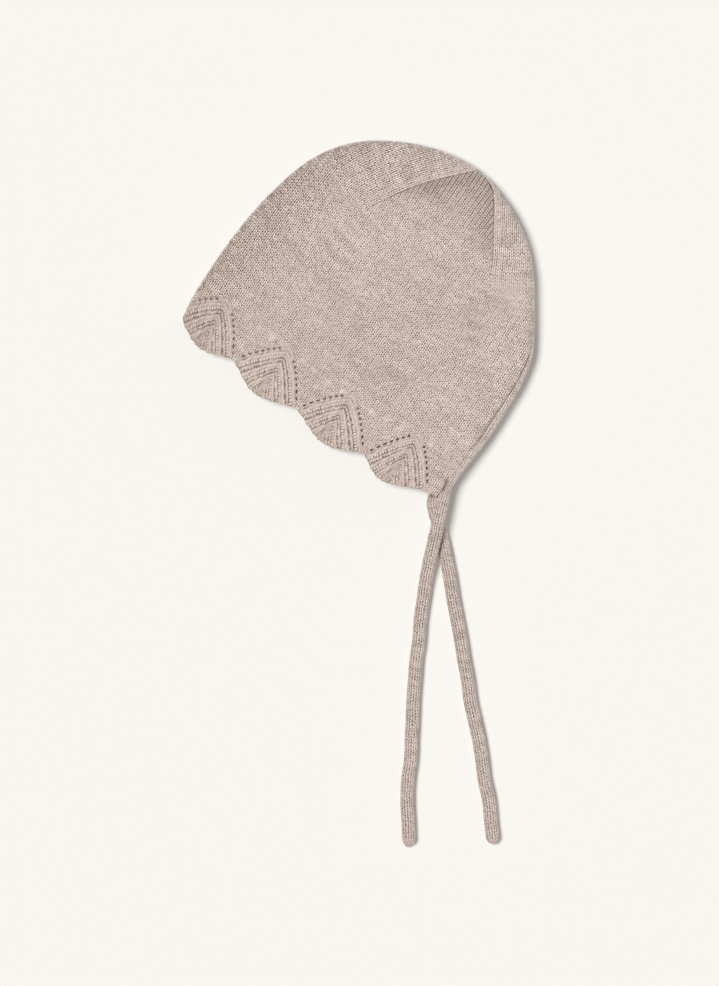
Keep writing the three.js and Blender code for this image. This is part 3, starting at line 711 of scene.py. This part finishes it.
def from_fold(along, d):
    """Place in plan of a point of the face edge, from its distance in the knit from the forehead fold."""
    beyond = np.maximum(along - QUARTER, 0)
    turn = np.clip(along / QUARTER, 0, 1) * np.pi / 2
    leant = fold_place(d) * np.clip(1 - beyond / SLANT_REACH, 0, 1)
    return leant + FOLD_RADIUS * (1 - np.cos(turn)) + beyond


def add_leaf(label, side, leaf, size):
    """One lace leaf. Rows are ribs that start at a drop below the peak and run out both ways to the edge.

    The ribs fan out towards the tip. Each runs straight to the parabola between the two valleys, and the
    whole is then moved a little, so that its top is the leaf's top and its lower edge the wavy edge. Each
    rib has stitch counts of its own, so that no two have the same shades of yarn.
    """
    peak, tall = LEAF_TOPS[leaf], LEAF_TOPS[leaf] - LEAF_TIP
    parts, drops = np.linspace(-1, 1, 2 * size[0] + 1), np.linspace(0, tall, size[1] + 1)
    part, drop = np.meshgrid(parts, drops, indexing="ij")
    left = part < 0
    half = np.where(left, LEAF_LEFT[leaf], LEAF_RIGHT[leaf])
    reach = np.where(left, min(LEAF_LEFT[leaf], LEAF_AXES[leaf]), half)
    fan = np.where(left, RIB_FAN_LEFT, RIB_FAN_RIGHT)
    slope = np.arctan2(half, peak - SHOULDER) * (1 - fan * smooth(drop / tall))
    curve = (VALLEY - LEAF_TIP) / half**2 * np.sin(slope)**2
    fall = tall - drop
    length = 2 * fall / (np.cos(slope) + np.sqrt(np.cos(slope)**2 + 4 * curve * fall))
    out = np.abs(part) * np.minimum(length, reach / np.sin(slope))
    along = LEAF_AXES[leaf] + np.sign(part) * out * np.sin(slope)
    d = peak - drop - out * np.cos(slope) + bow(along)
    across = (along - LEAF_AXES[leaf]) / half
    shifted = across - TIP_SHIFTS[leaf] * (1 - across**2)
    arc = VALLEY + (LEAF_TIP - VALLEY) * (1 - across**2) + bow(along)
    wave = (1 - EDGE_WAVE) * (1 - shifted**2) + EDGE_WAVE * (0.5 + 0.5 * np.cos(np.pi * shifted))
    edge = VALLEY + (LEAF_TIP - VALLEY) * wave + bow(along)
    top = peak + (SHOULDER - peak) * np.abs(across) + bow(along)
    lower = np.clip((top - d) / np.maximum(top - arc, TINY), 0, 1)
    spread = RIB_SPREAD * np.sign(part) * smooth(np.abs(part) / RIB_SPREAD_OVER)
    turns = (drop - RIB_FIRST) / (RIB_STEP + spread)
    count = np.round(turns)
    turns = turns - count
    ribbed = smooth((drop - BAND) / BAND_FADE)
    bumps = EDGE_BUMP * ribbed * np.cos(2 * np.pi * turns) * smooth((1 - np.abs(across)) / EDGE_BUMP_FADE)
    edge = edge - bumps
    d = d + (edge - arc) * lower + (leaf_top(leaf, np.abs(across)) + bow(along) - top) * (1 - lower)
    base, normal, ditch, fold = knit_surface(side, from_fold(along, d), d)
    u, v = RIB_WALES * turns, out / LACE_COURSE
    plain = RIB_PLAIN * np.maximum(np.exp(-(turns / RIB_WIDTH)**2), 1 - ribbed)
    height = stitch(u, v, LACE_GAP) * (1 - plain) + PLAIN_HEIGHT * plain
    # Painted shade beside the neck edge and towards the folds at the upper left.
    shade = LACE_SHADE * (1 - DITCH_PAINTED_SHADE * ditch - RIM_PAINTED_SHADE * fold)
    rib = 1 - ribbed * (0.5 - 0.5 * np.cos(2 * np.pi * turns))
    rounded = 1 - smooth((d - edge) / EDGE_ROUND)
    raised = STITCH_RELIEF * (height - STITCH_CREST[side]) - RIB_RELIEF * (1 - rib) - EDGE_SINK * rounded
    outer = base + normal * raised[..., None]
    inner = base - normal * (WALL + (EDGE_WALL - WALL) * rounded)[..., None]
    inset = drop - EYELET_INSET
    first = np.where(left, EYELET_FIRST_LEFT, EYELET_FIRST_RIGHT)
    step = np.where(left, EYELET_STEP_LEFT, EYELET_STEP_RIGHT)
    down, in_line, step = ((x[1:, 1:] + x[1:, :-1] + x[:-1, 1:] + x[:-1, :-1])[..., None] / 4
                           for x in (inset * np.sin(slope), out + inset * np.cos(slope) - first, step))
    from_eyelet = in_line - step * np.arange(EYELETS)
    hole = ((from_eyelet / EYELET_LONG)**2 + (down / EYELET_WIDE)**2 < 1).any(-1)
    stitches = np.stack([u + RIB_APART * count + HALF_APART * (part > 0), v], -1)
    looks = (LACE, "lace", f"scallop_{label}")
    piece = add_sheet(f"lace_{label}", outer, inner, ~hole, stitches, shade, plain, side == NEAR, *looks)
    cloth_area(base)


for side, half, size in ((NEAR, "near", NEAR_CELLS), (FAR, "far", FAR_CELLS)):
    for leaf in range(len(LEAF_AXES)):
        add_leaf(f"{half}_{leaf + 1}", side, leaf, size)

# Neck cord.
# A narrow tube of the same wool, knitted in the round and sewn along both halves of the neck edge; the two
# halves meet at the nape and run on into the ties at the chin.
NECK_ROUTE = np.array([
    (173, 7.6), (173.1, 18), (174.2, 36), (174.3, 48), (173.7, 60), (173.1, 72), (171.9, 80.9),
    (169.9, 89.7), (166.9, 96.2), (163.9, 101.3), (160.3, 106.4),
])
NECK_WIDTH, NARROWER, NARROWS_FROM = 4.6, 2.6, 55
NECK_HEIGHT, LOWER, LOWERS_FROM = 4.5, 3.0, 50
NARROWS_OVER = 52
NECK_LEVEL, CHIN_LIFT, CHIN_FROM, CHIN_OVER = 6.2, 0.9, 60, 50
NECK_WALES, NECK_ROUND, NECK_SHADE = 5, 3, 1.14
ROUTE_STEPS = 12
CORD_COURSE = 1.65
CORD_RELIEF = 0.35
CORD_PER_WALE, CORD_PER_COURSE = 6, 4
# The last of these is the colour that painted shade darkens the cord towards.
CORD_PALE, CORD_DARK, CORD_SHADE_COLOUR = (0.85, 0.732, 0.668, 1), (0.59, 0.487, 0.44, 1), (0.12, 0.08, 0.06, 1)

CORD = wool("cord_wool", CORD_PALE, CORD_DARK, CORD_SHADE_COLOUR, KNIT_GAP, KNIT_LEAST, KNIT_MOST)


def add_cord(name, route, wales, width, height, tip, shade, node):
    """A tube of knit along a route: an ellipse across, its stitches pressed in and its far end rounded."""
    line = spline(route, ROUTE_STEPS)
    run = line_runs(line)
    at = np.linspace(0, run[-1], int(run[-1] / CORD_COURSE * CORD_PER_COURSE) + 1)
    centre = np.stack([np.interp(at, run, line[:, i]) for i in range(3)], -1)
    along = np.gradient(centre, axis=0)
    along /= np.linalg.norm(along, axis=1, keepdims=True)
    right = np.cross(along, (0, 0, 1))
    right /= np.linalg.norm(right, axis=1, keepdims=True)
    up = np.cross(right, along)
    angle = np.linspace(0, 2 * np.pi, wales * CORD_PER_WALE + 1)
    angle[-1] = 0
    u, v = np.meshgrid(np.linspace(0, wales, len(angle)) + 0.5 - wales / 4, at / CORD_COURSE)
    pressed = CORD_RELIEF * (stitch(u, v, KNIT_GAP) - 1)
    full = np.sqrt(1 - np.clip(1 - (at[-1] - at) / tip, 0, 1)**2)[:, None, None]
    full[0] = 0
    sideways = (width(at)[:, None] / 2 + pressed) * np.cos(angle)
    upwards = (height(at)[:, None] / 2 + pressed) * np.sin(angle)
    across = right[:, None] * sideways[..., None] + up[:, None] * upwards[..., None]
    points = centre[:, None] + full * across
    faces = cells(*points.shape[:2], np.ones((len(at) - 1, len(angle) - 1), bool))
    stitches = np.stack([u, v], -1).reshape(-1, 2)
    points = points.reshape(-1, 3)
    # Painted shade in the gaps at the chin.
    shade = shade * (1 - CHIN_PAINTED_SHADE * chin_painted_shade(points[:, 0], points[:, 1]))
    piece = add_piece(name, points, faces, 0, stitches, shade, np.zeros(u.size), CORD, "cord", node)
    return piece, (centre - (*HEAD_CENTRE, 0)) * MM, at[-1] * MM


def neck_width(at):
    """Width of the neck cord at a distance from the chin; it narrows evenly towards the nape."""
    return NECK_WIDTH - NARROWER * smooth((at - NARROWS_FROM) / NARROWS_OVER)


def neck_height(at):
    """Height of the neck cord at a distance from the chin; it gets lower evenly towards the nape."""
    return NECK_HEIGHT - LOWER * smooth((at - LOWERS_FROM) / NARROWS_OVER)


near_level = NECK_LEVEL + CHIN_LIFT * smooth((CHIN_FROM - NECK_ROUTE[:, 1]) / CHIN_OVER)
far_level = np.full(len(NECK_ROUTE), NECK_HEIGHT / 2)
neck_near = np.column_stack([NECK_ROUTE, near_level])
neck_far = np.column_stack([*tucked(*NECK_ROUTE.T), far_level])
for node, route in (("neck_cord_near", neck_near), ("neck_cord_far", neck_far)):
    add_cord(f"{node}_knit", route, NECK_WALES, neck_width, neck_height, NECK_ROUND, NECK_SHADE, node)

# Ties.
# The free ends of the same knitted cord, limp, about 8 mm wide and 200 mm long. They lie on the surface
# where the photograph shows them, the near one over the far one at the chin.
TIE_DIAMETER, TIE_NARROWER, TIE_WIDENS = 7.8, 3.0, 14
TIE_HEIGHT = 4.6
TIE_WALES, TIE_ROUND, TIE_SHADE = 8, 4.5, 1
TIE_START, TIE_ASIDE, ASIDE_POINTS = (0, 0.6, 0), (1.2, 0, 0), 3
TIE_NEAR_ROUTE = np.array([
    (172, 6, 7.2), (173.4, 1, 7.25), (176, -5.5, 7.3), (179, -12, 7.3), (182, -19, 7.2), (184.6, -25.5, 6.3),
    (187.6, -33, 4.7), (192, -43, 3), (197, -53, 2.45), (202, -63, 2.35), (207.5, -72.5, 2.35),
    (212.5, -82.5, 2.35), (218, -92, 2.35), (223.5, -101.5, 2.35), (229.5, -111, 2.35), (235, -120, 2.35),
    (241, -129.5, 2.35), (246, -139.5, 2.35), (252, -149, 2.35), (258.5, -157.5, 2.35), (266, -167.5, 2.35),
])
TIE_FAR_ROUTE = np.array([
    (167.9, 6, 2.35), (168.6, 0, 2.35), (171, -5.5, 2.35), (175.5, -10, 2.35), (180.5, -14, 2.35),
    (186.5, -19.3, 2.35), (195, -27.5, 2.35), (203, -35.5, 2.35), (210.5, -43.5, 2.35), (218.5, -51.5, 2.35),
    (226.5, -59.5, 2.35), (234, -67.5, 2.35), (242, -75.5, 2.35), (249.5, -84, 2.35), (257.5, -91.5, 2.35),
    (266, -99.5, 2.35), (273.5, -107.5, 2.35), (280.5, -115.5, 2.35), (289, -123.5, 2.35), (296, -132, 2.35),
    (303.5, -140.5, 2.35),
])
TIE_NEAR_TIP, TIE_FAR_TIP = (267.4, -168.6, 2.35), (304.7, -141.9, 2.35)


def tie_width(at):
    """Width of a tie at a distance from the neck cord; it widens evenly to its full width."""
    return TIE_DIAMETER - TIE_NARROWER * (1 - smooth(at / TIE_WIDENS))


def tie_height(at):
    """Height of a tie, the same from end to end."""
    return np.full_like(at, TIE_HEIGHT)


for node, route, neck, tip in (("tie_near", TIE_NEAR_ROUTE, neck_near, TIE_NEAR_TIP),
                               ("tie_far", TIE_FAR_ROUTE, neck_far, TIE_FAR_TIP)):
    aside = np.outer(1 - smooth(np.arange(len(route)) / ASIDE_POINTS), TIE_ASIDE)
    route = np.vstack([neck[0] + TIE_START, route + aside, tip])
    tie, path, length = add_cord(f"{node}_knit", route, TIE_WALES, tie_width, tie_height, TIE_ROUND,
                                 TIE_SHADE, node)
